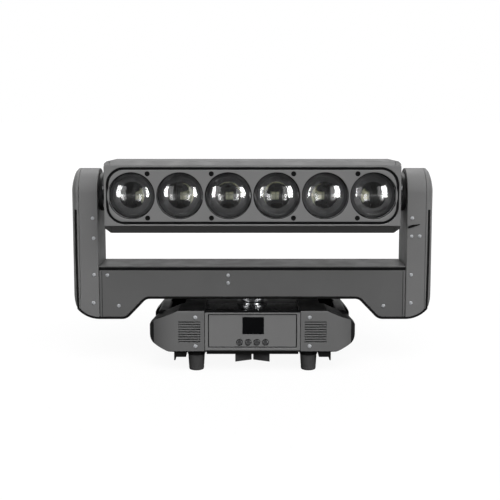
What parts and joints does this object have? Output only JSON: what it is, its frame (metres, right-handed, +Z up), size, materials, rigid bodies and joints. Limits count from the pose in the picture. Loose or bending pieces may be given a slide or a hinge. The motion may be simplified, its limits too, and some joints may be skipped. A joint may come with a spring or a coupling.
{
  "type": "moving head light",
  "caption": "Stage light bar with a row of zoom lenses in a tilting head, held between the arms of a panning yoke on a base with a menu panel.",
  "frame": {"origin": "on the floor under the pan axis, at the middle of the base", "axes": "+Z up along the pan axis, -Y the way the lenses face at rest, +X to the viewer's right in front"},
  "size_m": [0.5628, 0.1806, 0.316],
  "materials": {
    "charcoal_metal": "satin powder coat",
    "charcoal_plastic": "satin moulded",
    "black_plastic": "satin moulded",
    "black_rubber": "matt",
    "polished_steel": "polished",
    "black_metal": "satin",
    "bare_aluminium": "satin",
    "lens_glass": "clear polished",
    "circuit_board": "satin",
    "display_screen": "gloss"
  },
  "bodies": {
    "base": {"base_tray": "charcoal_metal", "base_deck": "black_plastic", "base_front_panel": "charcoal_metal", "base_cover_left": "charcoal_plastic", "base_cover_right": "charcoal_plastic", "display_board": "display_screen", "foot_front_left": "black_rubber", "foot_front_right": "black_rubber", "foot_rear_left": "black_rubber", "foot_rear_right": "black_rubber", "power_inlet": "black_plastic", "data_sockets": "black_plastic", "bracket_lock": "black_plastic", "pan_bearing": "polished_steel", "pan_motor": "black_metal", "pan_belt": "black_rubber", "power_supply": "bare_aluminium"},
    "yoke": {"pan_shaft": "polished_steel", "pan_pulley": "bare_aluminium", "crossbar_shell": "charcoal_metal", "crossbar_lid": "charcoal_metal", "arm_shell_left": "charcoal_metal", "arm_shell_right": "charcoal_metal", "arm_cover_left": "charcoal_metal", "arm_cover_right": "charcoal_metal", "tilt_bearing_left": "black_metal", "tilt_bearing_right": "black_metal", "tilt_motor": "black_metal", "tilt_belt": "black_rubber"},
    "head": {"head_front_frame": "charcoal_metal", "head_top_cover": "charcoal_metal", "head_bottom_cover": "charcoal_metal", "head_rear_panel": "charcoal_metal", "head_end_left": "charcoal_plastic", "head_end_right": "charcoal_plastic", "lens_panel": "charcoal_metal", "tilt_shaft_left": "polished_steel", "tilt_shaft_right": "polished_steel", "tilt_pulley": "bare_aluminium", "led_board": "circuit_board", "heat_sink": "bare_aluminium", "fan_bracket": "charcoal_metal", "zoom_motor": "polished_steel", "zoom_guides": "polished_steel"},
    "lens_carriage": {"lens_carriage": "black_plastic", "lens_1": "lens_glass", "lens_2": "lens_glass", "lens_3": "lens_glass", "lens_4": "lens_glass", "lens_5": "lens_glass", "lens_6": "lens_glass"},
    "pan_motor_pulley": {"pan_motor_pulley": "bare_aluminium"},
    "tilt_motor_pulley": {"tilt_motor_pulley": "bare_aluminium"},
    "zoom_screw": {"zoom_screw": "polished_steel"},
    "fan_rotor_left": {"fan_rotor_left": "black_plastic"},
    "fan_rotor_right": {"fan_rotor_right": "black_plastic"},
    "menu_button_1": {"menu_button_1": "black_plastic"},
    "menu_button_2": {"menu_button_2": "black_plastic"},
    "menu_button_3": {"menu_button_3": "black_plastic"},
    "menu_button_4": {"menu_button_4": "black_plastic"}
  },
  "joints": [
    {"name": "pan", "type": "hinge", "parent": "base", "child": "yoke", "pos_m": [0, 0, 0.0945], "axis": [0, 0, 1], "range_deg": [-270, 270]},
    {"name": "tilt", "type": "hinge", "parent": "yoke", "child": "head", "pos_m": [0, 0, 0.265], "axis": [-1, 0, 0], "range_deg": [-45, 225]},
    {"name": "zoom", "type": "slide", "parent": "head", "child": "lens_carriage", "axis": [0, 1, 0], "range_m": [0, 0.02]},
    {"name": "zoom_screw_turn", "type": "hinge", "parent": "head", "child": "zoom_screw", "pos_m": [0, -0.03, 0.301], "axis": [0, -1, 0], "range_deg": [-5, 905]},
    {"name": "pan_motor_turn", "type": "hinge", "parent": "base", "child": "pan_motor_pulley", "pos_m": [-0.078, 0, 0.08], "axis": [0, 0, 1], "range_deg": [-1355, 1355]},
    {"name": "tilt_motor_turn", "type": "hinge", "parent": "yoke", "child": "tilt_motor_pulley", "pos_m": [-0.255, 0, 0.11], "axis": [-1, 0, 0], "range_deg": [-150, 730]},
    {"name": "fan_left_turn", "type": "hinge", "parent": "head", "child": "fan_rotor_left", "pos_m": [-0.1, 0.068, 0.265], "axis": [0, 1, 0], "continuous": true},
    {"name": "fan_right_turn", "type": "hinge", "parent": "head", "child": "fan_rotor_right", "pos_m": [0.1, 0.068, 0.265], "axis": [0, 1, 0], "continuous": true},
    {"name": "menu_button_1_press", "type": "slide", "parent": "base", "child": "menu_button_1", "axis": [0, 1, 0], "range_m": [0, 0.0012], "stiffness_N_per_m": 500},
    {"name": "menu_button_2_press", "type": "slide", "parent": "base", "child": "menu_button_2", "axis": [0, 1, 0], "range_m": [0, 0.0012], "stiffness_N_per_m": 500},
    {"name": "menu_button_3_press", "type": "slide", "parent": "base", "child": "menu_button_3", "axis": [0, 1, 0], "range_m": [0, 0.0012], "stiffness_N_per_m": 500},
    {"name": "menu_button_4_press", "type": "slide", "parent": "base", "child": "menu_button_4", "axis": [0, 1, 0], "range_m": [0, 0.0012], "stiffness_N_per_m": 500}
  ],
  "couplings": [
    {"joint": "pan_motor_turn", "follows": "pan", "ratio": 5},
    {"joint": "tilt_motor_turn", "follows": "tilt", "ratio": 3.2222},
    {"joint": "zoom_screw_turn", "follows": "zoom", "rad_per_m": 785.4}
  ]
}
